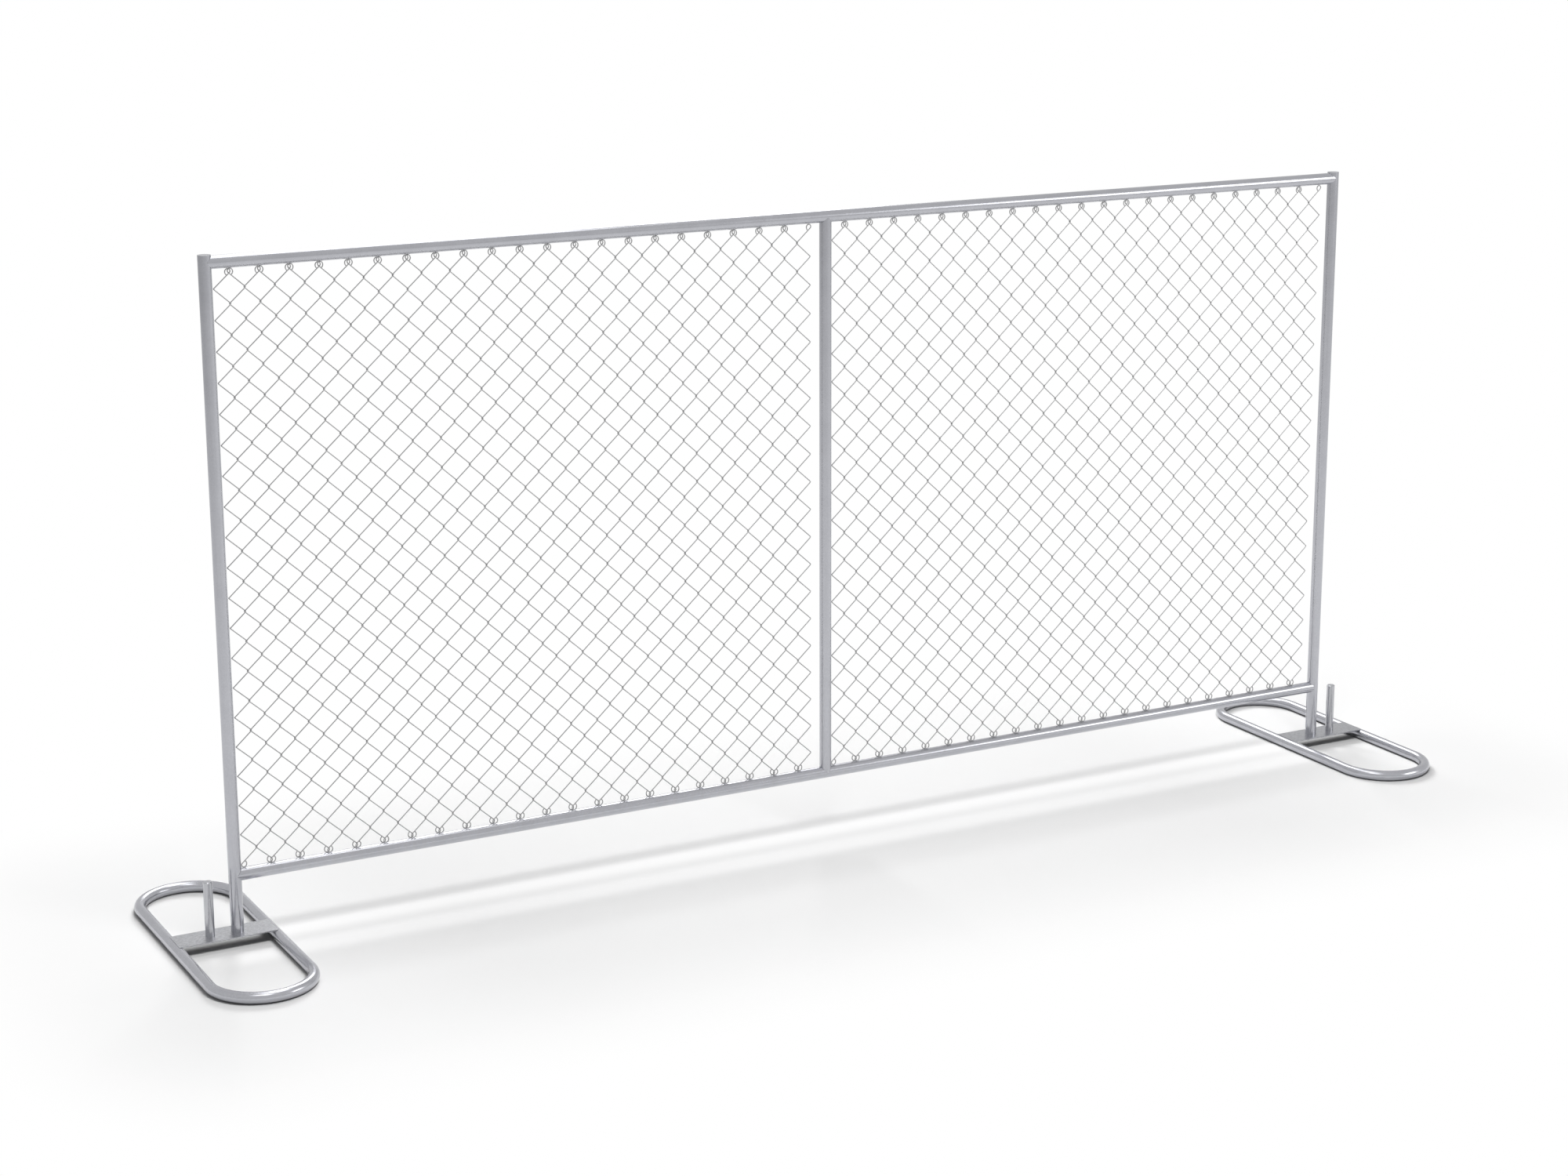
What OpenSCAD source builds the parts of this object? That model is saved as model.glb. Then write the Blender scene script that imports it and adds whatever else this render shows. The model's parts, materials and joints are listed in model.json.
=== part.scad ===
// Temporary fence panel for a building site: a welded frame of round tube
// with two bays of chain link, standing on two loose ring feet.
// X runs along the fence, Y across it, Z up from the ground. Millimetres.

/* [Panel] */
// Width over the two end posts
panel_w = 3658; // [2400:1:4300]
// Length of an end post, its cap included
post_h = 1829; // [1400:1:2450]
// From the foot of an end post up to the axis of the bottom rail
foot_h = 159; // [120:1:260]
// How far an end post stands above the crown of the top rail
head_h = 2.5; // [1:0.1:20]

/* [Frame tube] */
// Outside diameter of the posts and rails
tube_d = 34.9; // [32:0.1:48]
// Wall of the posts and rails
tube_wall = 1.65; // [1.2:0.05:2.6]
// Thickness of the disc that closes the top of an end post
cap_t = 2.5; // [1.5:0.1:6]
// Gap where a coped end meets the tube that it is welded to
weld_gap = 0.2; // [0.1:0.05:0.5]

/* [Chain link] */
// Distance between parallel wires, centre to centre
wire_pitch = 57.15; // [45:0.05:75]
// Diameter of the wire
wire_d = 3; // [2.4:0.1:3.8]
// How far a bend reaches past the line where two wires cross
hook = 2.2; // [1.8:0.1:4]
// Gap between two wires where they pass each other
wire_gap = 0.3; // [0.2:0.05:0.6]
// Radius of the curl at the end of a wire, to the middle of the wire
curl_r = 7.2; // [6:0.1:10]
// From the line of crossings to the middle of a curl, along the fence
curl_in = 3.6; // [2.5:0.1:5]
// From the last crossing to the middle of a curl, up or down
curl_out = 2; // [1:0.1:4]
// Slit between the cut end of a curl and its own wire
curl_slit = 0.5; // [0.3:0.1:1.2]
// Gap between the fabric and the tube that it bears on
seat_gap = 0.2; // [0.1:0.05:0.5]

/* [Ring foot] */
// Length of a ring foot, across the fence
ring_len = 914; // [600:1:1200]
// Width of a ring foot, along the fence
ring_w = 305; // [260:1:420]
// Outside diameter of the foot's tube
ring_d = 31.8; // [26:0.1:42]
// Wall of the foot's tube
ring_wall = 1.65; // [1.2:0.05:2.6]
// Width of the plate that bridges the ring, across the fence
plate_w = 90; // [60:1:140]
// Thickness of the plate
plate_t = 3.2; // [2.5:0.1:6]
// How far the top of the plate stands above the crown of the ring
plate_rise = 1; // [0.7:0.1:2]

/* [Pegs] */
// Diameter of a peg
peg_d = 25.4; // [20:0.1:27]
// Height of a peg above the plate
peg_h = 154; // [110:1:200]
// Distance between the peg in the post and the free peg
peg_pitch = 76.2; // [65:0.1:110]
// Bevel round the top of a peg
peg_lead = 2; // [0.5:0.1:5]
// Running clearance round the peg where it turns in the plate
turn_gap = 0.05; // [0.02:0.01:0.1]

/* [Hidden] */
$fn = 96;
// Overrun of every cut
over = 1;
zinc = [0.66, 0.67, 0.70];
zinc_plate = [0.62, 0.63, 0.66];
wire_grey = [0.60, 0.61, 0.63];

// Frame
tube_r = tube_d / 2;
post_x = (panel_w - tube_d) / 2;

// Ring feet
ring_r = ring_d / 2;
bend_r = ring_w / 2 - ring_r;
ring_straight = (ring_len - ring_w) / 2;
ring_x = post_x + peg_pitch / 2;
plate_top = ring_d + plate_rise;

// Heights of the frame above the ground
post_top = plate_top + post_h;
low_rail_z = plate_top + foot_h;
high_rail_z = post_top - head_h - tube_r;

// Fabric: the wires fill a bay from its left post, as many as fit whole,
// and are drawn to the height between the rails
half_w = wire_pitch / sqrt(2);
bay_w = post_x - tube_d;
knuckle_h = curl_out + curl_r + wire_d / 2 + seat_gap;
fabric_z = low_rail_z + tube_r + knuckle_h;
fabric_h = high_rail_z - tube_r - knuckle_h - fabric_z;
rows = 2 * floor((fabric_h / half_w - 1) / 2) + 1;
row_h = fabric_h / rows;
span = half_w + 2 * hook;
leg_l = norm([span, row_h]);
leg_dir = [span, row_h] / leg_l;
leg_angle = atan2(row_h, span);
side_w = wire_d / 2 * leg_l / row_h;
lap_angle = asin((wire_d + wire_gap) / half_w);
tip_w = hook + side_w + wire_d / 2 * sin(lap_angle) + 2 * seat_gap;
wires = floor((bay_w - 2 * tip_w) / half_w);

// Curls: the last leg runs on past its crossing to the far side of the curl,
// which is turned back on it
curl_c = [curl_in + hook, -curl_out];
curl_off = cross(curl_c, leg_dir);
tail = sqrt(max(0, curl_r * curl_r - curl_off * curl_off)) - curl_c * leg_dir;
// Where the slit lies on a curl, from the direction of its leg
slit_angle = 16;

// A length of round tube along Z
module tube(d, wall, h) {
    difference() {
        cylinder(d = d, h = h);
        translate([0, 0, -over])
            cylinder(d = d - 2 * wall, h = h + 2 * over);
    }
}

// The space that an end post and its weld take out of what meets it
module post_cope(x) {
    translate([x, 0, 0])
        cylinder(r = tube_r + weld_gap, h = post_top + over);
}

// The space that a rail and its weld take out of the centre post
module rail_cope(z) {
    translate([-tube_d, 0, z])
        rotate([0, 90, 0])
            cylinder(r = tube_r + weld_gap, h = 2 * tube_d);
}

// An end post: open below for the peg, closed above by its cap
module end_post(x) {
    color(zinc)
        translate([x, 0, plate_top])
            tube(tube_d, tube_wall, post_h - cap_t);
}

// The disc on the top of an end post
module post_cap(x) {
    color(zinc)
        translate([x, 0, post_top - cap_t])
            cylinder(d = tube_d, h = cap_t);
}

// A rail from post to post, both ends coped to the posts
module rail(z) {
    color(zinc)
        difference() {
            translate([-post_x, 0, z])
                rotate([0, 90, 0])
                    tube(tube_d, tube_wall, 2 * post_x);
            post_cope(-post_x);
            post_cope(post_x);
        }
}

// The centre post, coped to both rails
module centre_post() {
    color(zinc)
        difference() {
            translate([0, 0, low_rail_z])
                tube(tube_d, tube_wall, high_rail_z - low_rail_z);
            rail_cope(low_rail_z);
            rail_cope(high_rail_z);
        }
}

// Middle line of a wire at row i, shifted sideways by s. Its two ends run on
// by the tail
function bend(i, s) =
    [(i % 2 == 0 ? -hook : half_w + hook) + s, i * row_h]
    + (i == 0 ? -tail : i == rows ? tail : 0) * leg_dir;

// The zigzag of one wire, from its lower left end to its upper right end
module zigzag() {
    polygon(concat(
        [for (i = [0:rows]) bend(i, -side_w)],
        [for (i = [rows:-1:0]) bend(i, side_w)]
    ));
}

// Puts the children at the lower curl, and turned about at the upper one
module at_curls() {
    translate([curl_in, -curl_out])
        children();
    translate([half_w - curl_in, fabric_h + curl_out])
        rotate(180)
            children();
}

// The curl at the lower end of a wire: a ring that its leg cuts across
module curl() {
    difference() {
        circle(r = curl_r + wire_d / 2);
        circle(r = curl_r - wire_d / 2);
        rotate(leg_angle)
            translate([-2 * curl_r, curl_off])
                square([4 * curl_r, 2 * curl_r]);
        rotate(leg_angle + slit_angle)
            translate([curl_r - wire_d, -curl_slit / 2])
                square([2 * wire_d, curl_slit]);
    }
}

// One wire laid flat: the zigzag and the curl that knuckles each end
module wire_outline() {
    zigzag();
    at_curls()
        curl();
}

// Wire k of a bay. Each one passes in front of the next on its right, and
// every second one is turned about, so that its curls pair with its neighbours'
module wire(k, bay_x) {
    translate([bay_x + tube_r + tip_w + (k + 1 / 2) * half_w, 0, fabric_z])
        rotate([90, 0, -lap_angle])
            mirror([k % 2, 0, 0])
                translate([-half_w / 2, 0, -wire_d / 2])
                    linear_extrude(wire_d)
                        wire_outline();
}

// Every second wire of the bay that starts at the post on bay_x
module bay_wires(bay_x, first) {
    color(wire_grey)
        for (k = [first:2:wires - 1])
            wire(k, bay_x);
}

// Half of a ring foot: a tube bent to a U, butted to the other half under
// the plate. side is -1 for the half in front of the fence and 1 behind it
module bow(x, side) {
    color(zinc)
        translate([x, 0, ring_r])
            mirror([0, (1 - side) / 2, 0]) {
                translate([0, ring_straight, 0])
                    rotate_extrude(angle = 180)
                        translate([bend_r, 0])
                            difference() {
                                circle(d = ring_d);
                                circle(d = ring_d - 2 * ring_wall);
                            }
                for (s = [-1, 1])
                    translate([s * bend_r, ring_straight, 0])
                        rotate([90, 0, 0])
                            tube(ring_d, ring_wall, ring_straight - weld_gap / 2);
            }
}

// The plate across a ring, grooved below to sit on both sides of it and
// bored for the peg that goes up the post
module plate(x, pin_x) {
    color(zinc_plate)
        difference() {
            translate([x - bend_r, -plate_w / 2, plate_top - plate_t])
                cube([2 * bend_r, plate_w, plate_t]);
            for (s = [-1, 1])
                translate([x + s * bend_r, plate_w / 2 + over, ring_r])
                    rotate([90, 0, 0])
                        cylinder(r = ring_r + weld_gap, h = plate_w + 2 * over);
            translate([pin_x, 0, plate_top - plate_t - over])
                cylinder(r = peg_d / 2 + turn_gap, h = plate_t + 2 * over);
        }
}

// A round bar with a bevelled top, from z up to the height of a peg
module bar(x, z) {
    color(zinc)
        translate([x, 0, 0]) {
            translate([0, 0, z])
                cylinder(d = peg_d, h = plate_top + peg_h - peg_lead - z);
            translate([0, 0, plate_top + peg_h - peg_lead])
                cylinder(d1 = peg_d, d2 = peg_d - 2 * peg_lead, h = peg_lead);
        }
}

// The free peg for the next panel, welded on the plate
module peg(x) {
    bar(x, plate_top);
}

// The peg that goes up inside the post
module pin(x) {
    bar(x, plate_top - plate_t);
}

end_post(-post_x);  // left_post
end_post(post_x);  // right_post
centre_post();
rail(high_rail_z);  // top_rail
rail(low_rail_z);  // bottom_rail
post_cap(-post_x);  // left_cap
post_cap(post_x);  // right_cap
bay_wires(-post_x, 0);  // left_bay_wires_a
bay_wires(-post_x, 1);  // left_bay_wires_b
bay_wires(0, 0);  // right_bay_wires_a
bay_wires(0, 1);  // right_bay_wires_b
bow(-ring_x, -1);  // left_bow_front
bow(-ring_x, 1);  // left_bow_back
plate(-ring_x, -post_x);  // left_plate
peg(-post_x - peg_pitch);  // left_peg
pin(-post_x);  // left_pin
bow(ring_x, -1);  // right_bow_front
bow(ring_x, 1);  // right_bow_back
plate(ring_x, post_x);  // right_plate
peg(post_x + peg_pitch);  // right_peg
pin(post_x);  // right_pin
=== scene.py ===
import json
import math

import bpy
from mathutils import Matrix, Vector

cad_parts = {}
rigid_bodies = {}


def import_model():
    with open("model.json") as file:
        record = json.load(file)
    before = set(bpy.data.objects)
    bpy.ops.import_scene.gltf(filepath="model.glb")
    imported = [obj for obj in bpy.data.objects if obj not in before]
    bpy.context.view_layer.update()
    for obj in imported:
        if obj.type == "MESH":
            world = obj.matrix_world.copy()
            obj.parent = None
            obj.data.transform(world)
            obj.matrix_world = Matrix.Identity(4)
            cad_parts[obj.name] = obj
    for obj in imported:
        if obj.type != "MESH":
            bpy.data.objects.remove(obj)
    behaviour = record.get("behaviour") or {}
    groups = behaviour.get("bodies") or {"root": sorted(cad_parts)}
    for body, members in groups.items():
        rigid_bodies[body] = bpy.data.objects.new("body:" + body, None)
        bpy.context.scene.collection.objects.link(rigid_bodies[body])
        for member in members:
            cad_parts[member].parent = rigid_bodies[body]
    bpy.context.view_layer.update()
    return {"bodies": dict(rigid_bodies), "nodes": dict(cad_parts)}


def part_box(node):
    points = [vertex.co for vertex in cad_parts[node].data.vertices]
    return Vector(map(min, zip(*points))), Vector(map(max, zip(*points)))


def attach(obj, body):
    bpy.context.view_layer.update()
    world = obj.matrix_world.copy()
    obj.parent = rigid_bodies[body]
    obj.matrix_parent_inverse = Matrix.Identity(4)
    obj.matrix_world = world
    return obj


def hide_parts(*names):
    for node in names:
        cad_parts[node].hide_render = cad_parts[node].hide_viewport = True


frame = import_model()


# Ring feet. Each is two lengths of round steel tube, bent to a U, butted
# together under the plate and galvanised. They lie loose on the ground, and the
# zinc shows the fine draw lines of the tube and a faint cloud of spangle.
class Sock:
    """A node socket: sums with it add Math nodes, and node() adds any other."""

    def __init__(self, tree, socket=None):
        self.tree = tree
        self.socket = socket

    def node(self, kind, settings=None, sockets=None, out=0):
        new = self.tree.nodes.new(kind)
        for name, value in (settings or {}).items():
            if name == "stops":
                for stop, (at, colour) in zip(new.color_ramp.elements, value):
                    stop.position = at
                    stop.color = colour
            else:
                setattr(new, name, value)
        for name, value in (sockets or {}).items():
            if isinstance(value, Sock):
                self.tree.links.new(value.socket, new.inputs[name])
            else:
                new.inputs[name].default_value = value
        return Sock(self.tree, new.outputs[out])

    def math(self, operation, *others):
        values = dict(enumerate((self, *others)))
        return self.node("ShaderNodeMath", {"operation": operation}, values)

    def __add__(self, other):
        return self.math("ADD", other)

    def __sub__(self, other):
        return self.math("SUBTRACT", other)

    def __rsub__(self, other):
        return self.node("ShaderNodeMath", {"operation": "SUBTRACT"}, {0: other, 1: self})

    def __mul__(self, other):
        return self.math("MULTIPLY", other)

    def __truediv__(self, other):
        return self.math("DIVIDE", other)

    def __mod__(self, other):
        return self.math("FLOORED_MODULO", other)

    def __lt__(self, other):
        return self.math("LESS_THAN", other)

    def __gt__(self, other):
        return self.math("GREATER_THAN", other)

    def __abs__(self):
        return self.math("ABSOLUTE")

    __radd__ = __add__
    __rmul__ = __mul__


def zinc(name, lay, dark, light, rough,
         line_w=0.0009, line_l=0.3, line_depth=0.00001, clouded=0.4):
    """Galvanised steel. lay turns a place into metres around and along the bar."""
    clouds_per_m, grains_per_m, spangled = 14.0, 210.0, 0.1
    dark_below, light_above, line_strength = 0.3, 0.7, 0.35
    smoothest, rough_in_lines, rough_in_clouds = -0.04, 0.05, 0.03

    material = bpy.data.materials.new(name)
    material.use_nodes = True
    tree = material.node_tree
    skin = tree.nodes["Principled BSDF"]
    at = Sock(tree).node("ShaderNodeTexCoord", out="Object")
    x, y, z = (at.node("ShaderNodeSeparateXYZ", sockets={0: at}, out=i) for i in range(3))
    around, along = lay(x, y, z)
    lines = at.node("ShaderNodeCombineXYZ", sockets={0: around / line_w, 1: along / line_l})
    draw = at.node("ShaderNodeTexNoise", sockets={
        "Vector": lines, "Scale": 1.0, "Detail": 3.0, "Roughness": 0.6})
    cloud = at.node("ShaderNodeTexNoise", sockets={
        "Vector": at, "Scale": clouds_per_m, "Detail": 4.0, "Roughness": 0.5})
    grains = at.node(
        "ShaderNodeTexVoronoi", sockets={"Vector": at, "Scale": grains_per_m}, out="Color")
    spangle = at.node("ShaderNodeSeparateColor", sockets={0: grains})
    tone = draw * (1 - spangled - clouded) + cloud * clouded + spangle * spangled
    ramp = {"stops": [(dark_below, (*dark, 1)), (light_above, (*light, 1))]}
    colour = at.node("ShaderNodeValToRGB", ramp, {"Fac": tone})
    lines_cut = at.node("ShaderNodeBump", sockets={
        "Strength": line_strength, "Distance": line_depth, "Height": draw}, out="Normal")
    uneven = rough + smoothest + draw * rough_in_lines + cloud * rough_in_clouds
    tree.links.new(colour.socket, skin.inputs["Base Color"])
    tree.links.new(uneven.socket, skin.inputs["Roughness"])
    tree.links.new(lines_cut.socket, skin.inputs["Normal"])
    skin.inputs["Metallic"].default_value = 1.0
    return material


def dress(node, material):
    frame["nodes"][node].data.materials.clear()
    frame["nodes"][node].data.materials.append(material)


tube_dark, tube_light = (0.455, 0.46, 0.492), (0.535, 0.54, 0.575)
for side in ("left", "right"):
    low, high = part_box(side + "_bow_back")
    foot_x = (low[0] + high[0]) / 2
    foot_r = high[2] / 2
    bend_r = (high[0] - low[0]) / 2 - foot_r
    straight = high[1] - bend_r - foot_r

    def round_the_bow(x, y, z):
        across = x - foot_x
        past = (abs(y) - straight).math("MAXIMUM", 0.0)
        out = (across * across + past * past).math("SQRT") - bend_r
        turn = (z - foot_r).math("ARCTAN2", out)
        return turn * foot_r, abs(y) + out

    bow_zinc = zinc(side + "_bow_zinc", round_the_bow, tube_dark, tube_light, rough=0.22)
    for half in ("_bow_front", "_bow_back"):
        dress(side + half, bow_zinc)


# Plates. A flat strip of galvanised steel lies across the two long sides of each
# ring, grooved below and welded to their crowns. Its face keeps the fine straight
# grain of the rolling.
plate_dark, plate_light = (0.29, 0.294, 0.31), (0.60, 0.606, 0.635)


def along_the_strip(x, y, z):
    return y + z, x


plate_steel = zinc(
    "plate_steel", along_the_strip, plate_dark, plate_light, rough=0.3,
    line_w=0.0016, line_l=0.009, line_depth=0.00003, clouded=0.1)
for side in ("left", "right"):
    dress(side + "_plate", plate_steel)


# Pegs. Round steel bars with a bevelled top, welded to each plate: a free one for
# the next panel, and one that goes up inside the post, which turns on it.
def middle(node):
    low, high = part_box(node)
    return [(a + b) / 2 for a, b in zip(low, high)]


def bar_radius(node):
    low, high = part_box(node)
    return (high[1] - low[1]) / 2


def round_upright(node):
    """The lay of a round bar that stands upright."""
    bar_x, bar_r = middle(node)[0], bar_radius(node)

    def lay(x, y, z):
        turn = (x - bar_x).math("ARCTAN2", y)
        return turn * bar_r, z

    return lay


peg_dark, peg_light = (0.46, 0.465, 0.49), (0.54, 0.545, 0.57)
for node in ("left_peg", "right_peg", "left_pin", "right_pin"):
    dress(node, zinc(node + "_zinc", round_upright(node), peg_dark, peg_light, rough=0.22))


# Posts and caps. Drawn round tube stands over the peg with its foot open, and a
# welded disc closes its top. The centre post is the same tube, coped to the rails
# at both ends.
for node, cap in (("left_post", "left_cap"), ("right_post", "right_cap"), ("centre_post", None)):
    post_zinc = zinc(node + "_zinc", round_upright(node), tube_dark, tube_light, rough=0.21)
    dress(node, post_zinc)
    if cap:
        dress(cap, post_zinc)


# Rails. The same tube runs from post to post above and below, coped at both
# ends to lie close against them.
for node in ("top_rail", "bottom_rail"):
    rail_z, rail_r = middle(node)[2], bar_radius(node)

    def round_the_rail(x, y, z):
        turn = (z - rail_z).math("ARCTAN2", y * -1)
        return turn * rail_r, x

    dress(node, zinc(node + "_zinc", round_the_rail, tube_dark, tube_light, rough=0.21))


# Chain link. Every wire is a flattened spiral of galvanised steel, turned into
# its neighbour so that the rising legs lie in front and the falling ones behind.
# Its two ends are curled back on their own legs beside the rails.
wire_d, mesh_size, rows = 0.003, 0.05715, 39
half_w = mesh_size / math.sqrt(2)
# a bend: how far it hooks past its neighbour's, its rounding, how far its legs lie
# in front and behind, and the length in which it turns from one to the other
hook, rounding, lay_depth, turn_in = 0.00165, 0.0011, 0.0019, 0.0015
# a curl: its radius, its middle's way in from the bends and out from the last row,
# how far its tail opens, and its turn in degrees
curl_r, curl_in, curl_out, curl_tail, curl_turn = 0.0072, 0.0036, 0.002, 0.0024, 295.0
leg_points, curl_points, wire_sides = 10, 22, 8


def woven_wires():
    """One bay's wires of one sort, as a node tree."""
    tree = bpy.data.node_groups.new("woven_wires", "GeometryNodeTree")
    tree.interface.new_socket("Geometry", in_out="OUTPUT", socket_type="NodeSocketGeometry")
    names = {}
    for name, kind in (
        ("Wires", "Int"), ("Row height", "Float"), ("Half width", "Float"),
        ("Wire diameter", "Float"), ("Turned", "Float"), ("First wire", "Vector"),
        ("Metal", "Material"),
    ):
        entry = tree.interface.new_socket(name, in_out="INPUT", socket_type="NodeSocket" + kind)
        names[name] = entry.identifier
    given_node = tree.nodes.new("NodeGroupInput")
    given = {name: Sock(tree, given_node.outputs[name]) for name in names}
    start = Sock(tree)

    half, row, bar = given["Half width"], given["Row height"], given["Wire diameter"]
    points = 2 * curl_points + rows * leg_points + 1
    index = start.node("GeometryNodeInputIndex")
    upper = index > (points - 1) / 2
    turn = 1 - upper * 2
    count = index * turn + upper * (points - 1)

    # the zigzag: leg number, and how far along it, crowded towards the bends
    step = (count - curl_points).math("MAXIMUM", 0.0) / leg_points
    leg = step.math("FLOOR")
    part = step - leg
    part = part * part * part * (part * (part * 6 - 15) + 10)
    apex = half / 2 + hook + rounding
    leg_l = (apex * apex * 4 + row * row).math("SQRT")
    lean_x, lean_z = apex * 2 / leg_l, row / leg_l
    reach_x, reach_z = hook + rounding + curl_in, -curl_out
    off = lean_z * reach_x - lean_x * reach_z
    foot = (lean_x * reach_x + lean_z * reach_z) / leg_l
    first = leg < 0.5
    part = part * (1 - first * foot) + first * foot
    odd = leg % 2
    near_end = part < 0.5
    gap = near_end * part + (1 - near_end) * (1 - part)
    bare = first * near_end
    run = gap * apex * 2
    bowed = (run * run + (1 - bare) * rounding ** 2).math("SQRT")
    to_left = near_end * (1 - odd) + (1 - near_end) * odd
    zig_x = (apex - bowed) * (1 - to_left * 2)
    sink = run / (run * run + (1 - bare) * turn_in ** 2).math("SQRT")
    zig_y = (odd * 2 - 1) * lay_depth * sink
    zig_z = (leg + part) * row

    # the curl: a ring that opens from the leg in its first third, and whose tail
    # comes back to the leg in the last
    swing = (curl_points - count) / curl_points
    thirds = swing * 3
    ease = thirds.math("MINIMUM", 1.0)
    ease = ease * ease * (3 - ease * 2)
    angle = lean_x.math("ARCTAN2", lean_z * -1) + swing * math.radians(curl_turn)
    late = (thirds - 2).math("MAXIMUM", 0.0)
    ring = off + (curl_r - off) * ease + late * late * curl_tail
    curl_x = half * -0.5 + curl_in + ring * angle.math("COSINE")
    curl_z = ring * angle.math("SINE") - curl_out
    in_curl = count < curl_points
    path_x = (curl_x * in_curl + zig_x * (1 - in_curl)) * turn
    path_y = zig_y * (1 - in_curl) + in_curl * -lay_depth
    path_z = (curl_z * in_curl + zig_z * (1 - in_curl)) * turn + upper * rows * row
    place = start.node("ShaderNodeCombineXYZ", sockets={0: path_x, 1: path_y, 2: path_z})

    line = start.node("GeometryNodeMeshLine", sockets={"Count": points})
    curve = start.node("GeometryNodeMeshToCurve", sockets={0: line})
    bent = start.node("GeometryNodeSetPosition", sockets={"Geometry": curve, "Position": place})
    section = start.node("GeometryNodeCurvePrimitiveCircle", sockets={
        "Resolution": wire_sides, "Radius": bar / 2})
    solid = start.node("GeometryNodeCurveToMesh", sockets={
        "Curve": bent, "Profile Curve": section, "Fill Caps": True})
    smooth = start.node("GeometryNodeSetShadeSmooth", sockets={"Geometry": solid})
    every_other = start.node("ShaderNodeCombineXYZ", sockets={0: half * 2})
    stands = start.node("GeometryNodeMeshLine", sockets={
        "Count": given["Wires"], "Start Location": given["First wire"], "Offset": every_other})
    facing = start.node("ShaderNodeCombineXYZ", sockets={2: given["Turned"] * math.pi})
    put = start.node("GeometryNodeInstanceOnPoints", sockets={
        "Points": stands, "Instance": smooth, "Rotation": facing})
    real = start.node("GeometryNodeRealizeInstances", sockets={0: put})
    metal = start.node("GeometryNodeSetMaterial", sockets={
        "Geometry": real, "Material": given["Metal"]})
    end = tree.nodes.new("NodeGroupOutput")
    tree.links.new(metal.socket, end.inputs[0])
    return tree, names


def grown(name, tree, names, values):
    """The plain mesh that a node tree makes from these values."""
    piece = bpy.data.objects.new(name, bpy.data.meshes.new(name))
    bpy.context.scene.collection.objects.link(piece)
    maker = piece.modifiers.new("maker", "NODES")
    maker.node_group = tree
    for given, value in values.items():
        maker[names[given]] = value
    ready = piece.evaluated_get(bpy.context.evaluated_depsgraph_get())
    plain = bpy.data.meshes.new_from_object(ready)
    piece.modifiers.remove(maker)
    piece.data = plain
    plain.name = name
    return piece


def along_the_wire(x, y, z):
    return y, z


wire_dark, wire_light = (0.365, 0.366, 0.37), (0.455, 0.456, 0.46)
wire_zinc = zinc("wire_zinc", along_the_wire, wire_dark, wire_light, rough=0.34)
wire_tree, wire_names = woven_wires()
knuckle = curl_out + curl_r + wire_d / 2
for bay in ("left", "right"):
    for sort, turned in (("a", 0.0), ("b", 1.0)):
        node = f"{bay}_bay_wires_{sort}"
        low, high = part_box(node)
        row_h = (high[2] - low[2] - 2 * knuckle) / rows
        wires = 1 + round((high[0] - low[0] - half_w) / (2 * half_w))
        first_x = (low[0] + high[0]) / 2 - (wires - 1) * half_w
        woven = grown(node + "_woven", wire_tree, wire_names, {
            "Wires": wires, "Row height": row_h, "Half width": half_w, "Wire diameter": wire_d,
            "Turned": turned, "First wire": (first_x, 0.0, low[2] + knuckle), "Metal": wire_zinc,
        })
        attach(woven, "panel")
        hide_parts(node)


# Studio. A pale floor that fades to white in a white surround, and the camera where
# the photograph was taken. Three soft lamps light the floor and cast the shadows,
# and four more are seen only in the metal.
keep_x, keep_y, squeeze, fade_over = 2.0, 0.47, 0.85, 0.64
# the floor's grey is painted lighter between these distances out, as painted light at the feet,
# from its middle grey to its end grey
ends_from, ends_to, middle_grey, end_grey = 1.1, 1.9, 0.85, 0.95
bounce_loss = 0.7
dim_per_m, dim_least, dim_to_left = 0.029, 0.6, 0.01


def ray_kinds(tree, *names):
    """1 for the named kinds of ray, or else 0."""
    kinds = [tree.node("ShaderNodeLightPath", out=f"Is {name} Ray") for name in names]
    found = kinds[0]
    for kind in kinds[1:]:
        found = found.math("MAXIMUM", kind)
    return found


def grey_of(level):
    return level.node("ShaderNodeCombineColor", sockets={0: level, 1: level, 2: level})


pale = bpy.data.materials.new("pale_floor")
pale.use_nodes = True
pale.node_tree.nodes.clear()
paint = Sock(pale.node_tree)
spot = paint.node("ShaderNodeTexCoord", out="Object")
across, deep = (paint.node("ShaderNodeSeparateXYZ", sockets={0: spot}, out=i) for i in range(2))
past_x = (abs(across) - keep_x).math("MAXIMUM", 0.0)
past_y = (abs(deep) - keep_y).math("MAXIMUM", 0.0) * squeeze
far = (past_x * past_x + past_y * past_y).math("SQRT")
fade = paint.node("ShaderNodeMapRange", {"interpolation_type": "SMOOTHSTEP"}, {
    "Value": far, "From Min": 0.0, "From Max": fade_over})
seen = ray_kinds(paint, "Camera")
mirrored = ray_kinds(paint, "Glossy", "Transmission")
# Painted light: the floor's own grey is painted lighter towards both ends, making up for the
# lamps' weaker light at the feet.
ends = paint.node("ShaderNodeMapRange", {"interpolation_type": "SMOOTHSTEP"}, {
    "Value": abs(across), "From Min": ends_from, "From Max": ends_to,
    "To Min": middle_grey, "To Max": end_grey})
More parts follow.
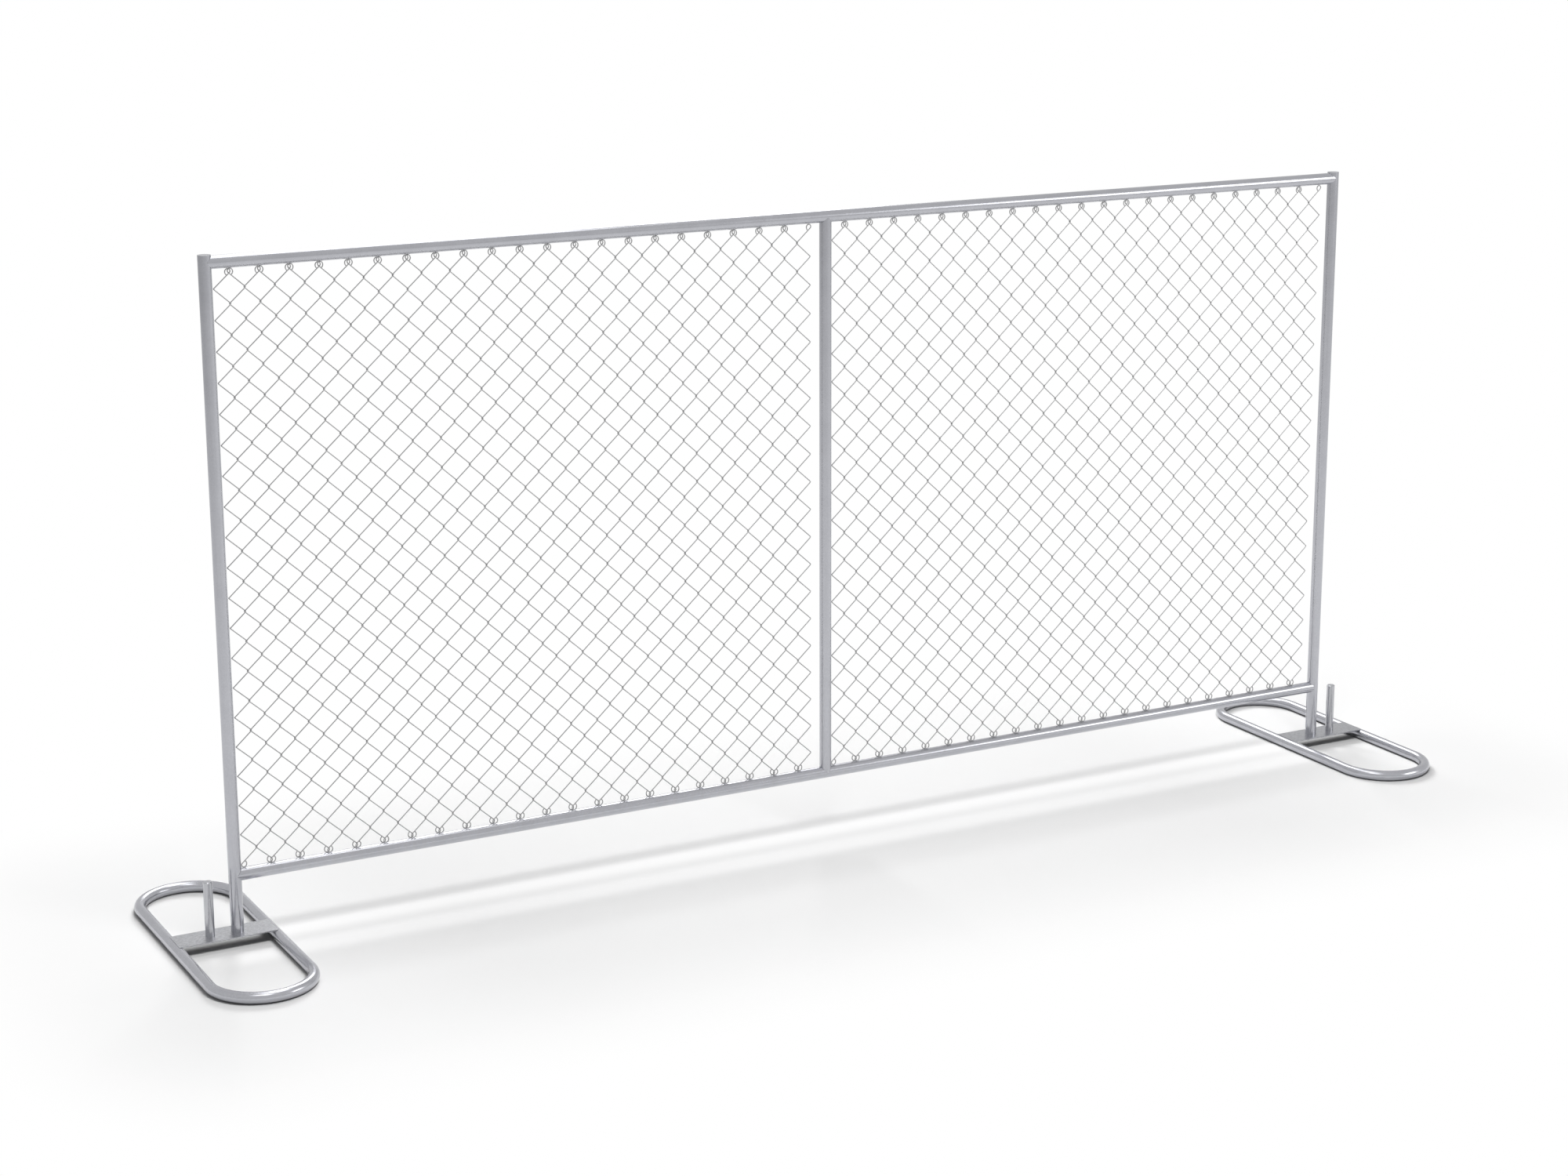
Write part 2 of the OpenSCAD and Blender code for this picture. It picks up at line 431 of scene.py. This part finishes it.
# Light that has already bounced finds the floor darker than its own grey, which deepens the shade
# under the plates and beside the rings.
bounced = paint.node("ShaderNodeLightPath", out="Diffuse Depth") > 0.5
matt = paint.node("ShaderNodeBsdfDiffuse", sockets={
    "Color": grey_of(ends * (1 - bounced * bounce_loss))})
dimmed = (1 - far * dim_per_m).math("MAXIMUM", dim_least) * (across * dim_to_left + 1)
white = paint.node("ShaderNodeEmission", sockets={"Color": grey_of(seen + mirrored * dimmed)})
blend = paint.node("ShaderNodeMixShader", sockets={0: fade * (seen + mirrored), 1: matt, 2: white})
floor_out = pale.node_tree.nodes.new("ShaderNodeOutputMaterial")
pale.node_tree.links.new(blend.socket, floor_out.inputs["Surface"])

# The floor goes down with a foot that is let off its post, so that the feet always
# lie on it: flat if both go, and at a slight slope if one does.
floor_half, level_from, slope_steps = 40.0, 1.25, 50
slope = [level_from * (2 * i / slope_steps - 1) for i in range(slope_steps + 1)]
columns = [-floor_half, *slope, floor_half]
ground = bpy.data.meshes.new("floor")
ground.from_pydata(
    [(x, y, 0.0) for x in columns for y in (-floor_half, floor_half)],
    [], [(2 * i, 2 * i + 2, 2 * i + 3, 2 * i + 1) for i in range(len(columns) - 1)])
ground.shade_smooth()
ground.materials.append(pale)
floor = bpy.data.objects.new("floor", ground)
bpy.context.scene.collection.objects.link(floor)
for body, sign in (("left_pin", -1), ("right_pin", 1)):
    carried = floor.vertex_groups.new(name=body)
    for i, x in enumerate(columns):
        share = min(max(0.5 + sign * x / level_from / 2, 0.0), 1.0)
        carried.add((2 * i, 2 * i + 1), share * share * (3 - 2 * share), "REPLACE")
    follow = floor.modifiers.new(body, "HOOK")
    follow.object = frame["bodies"][body]
    follow.vertex_group = body

reflected_level, ambient_level = 0.74, 0.15
world = bpy.data.worlds.new("surround")
bpy.context.scene.world = world
world.use_nodes = True
world.node_tree.nodes.clear()
sky = Sock(world.node_tree)
seen = ray_kinds(sky, "Camera", "Transmission")
mirrored = ray_kinds(sky, "Glossy")
level = seen * (1 - ambient_level) + mirrored * (reflected_level - ambient_level) + ambient_level
glow = sky.node("ShaderNodeBackground", sockets={"Color": (1, 1, 1, 1), "Strength": level})
sky_out = world.node_tree.nodes.new("ShaderNodeOutputWorld")
world.node_tree.links.new(glow.socket, sky_out.inputs["Surface"])

for name, place, aim, size, watts, in_metal in (
    ("behind_right", (1.65, 5.56, 4.73), (0.0, 0.0, 0.0), (3.2, 2.9), 386, False),
    ("front_left", (-0.6, -3.05, 6.5), (0.0, 0.0, 0.0), (2.9, 1.95), 250, False),
    ("overhead", (-1.0, 1.2, 6.0), (-1.0, 0.0, 0.0), (6.0, 1.6), 72, False),
    ("behind_right_gleam", (1.75, 4.9, 5.3), (0.0, 0.0, 0.0), (3.2, 4.4), 132, True),
    ("front_left_gleam", (-2.32, -3.01, 6.41), (0.0, 0.0, 0.0), (2.9, 1.95), 44, True),
    ("overhead_gleam", (-0.25, 0.7, 5.9), (-0.25, 0.7, 0.0), (2.7, 3.8), 62, True),
    ("low_right_gleam", (5.75, -5.05, 3.2), (0.0, 0.0, 1.8), (3.7, 2.4), 76, True),
):
    light = bpy.data.lights.new(name, "AREA")
    light.shape = "RECTANGLE"
    light.size, light.size_y = size
    light.energy = watts
    lamp = bpy.data.objects.new(name, light)
    bpy.context.scene.collection.objects.link(lamp)
    way = Vector(aim) - Vector(place)
    lamp.location = place
    lamp.rotation_euler = way.to_track_quat("-Z", "Y").to_euler()
    lamp.visible_camera = False
    lamp.visible_glossy = in_metal
    lamp.visible_diffuse = not in_metal

camera_data = bpy.data.cameras.new("camera")
camera = bpy.data.objects.new("camera", camera_data)
bpy.context.scene.collection.objects.link(camera)
camera.location = (-3.99587, -7.13750, 2.90307)
camera.rotation_euler = [math.radians(a) for a in (76.5593, 0.3019, -27.9828)]
camera_data.sensor_width = 36.0
camera_data.lens = 66.5238
camera_data.shift_x, camera_data.shift_y = 0.01538, -0.04112
camera_data.clip_end = 200.0
bpy.context.scene.camera = camera
bpy.context.scene.view_settings.view_transform = "Standard"
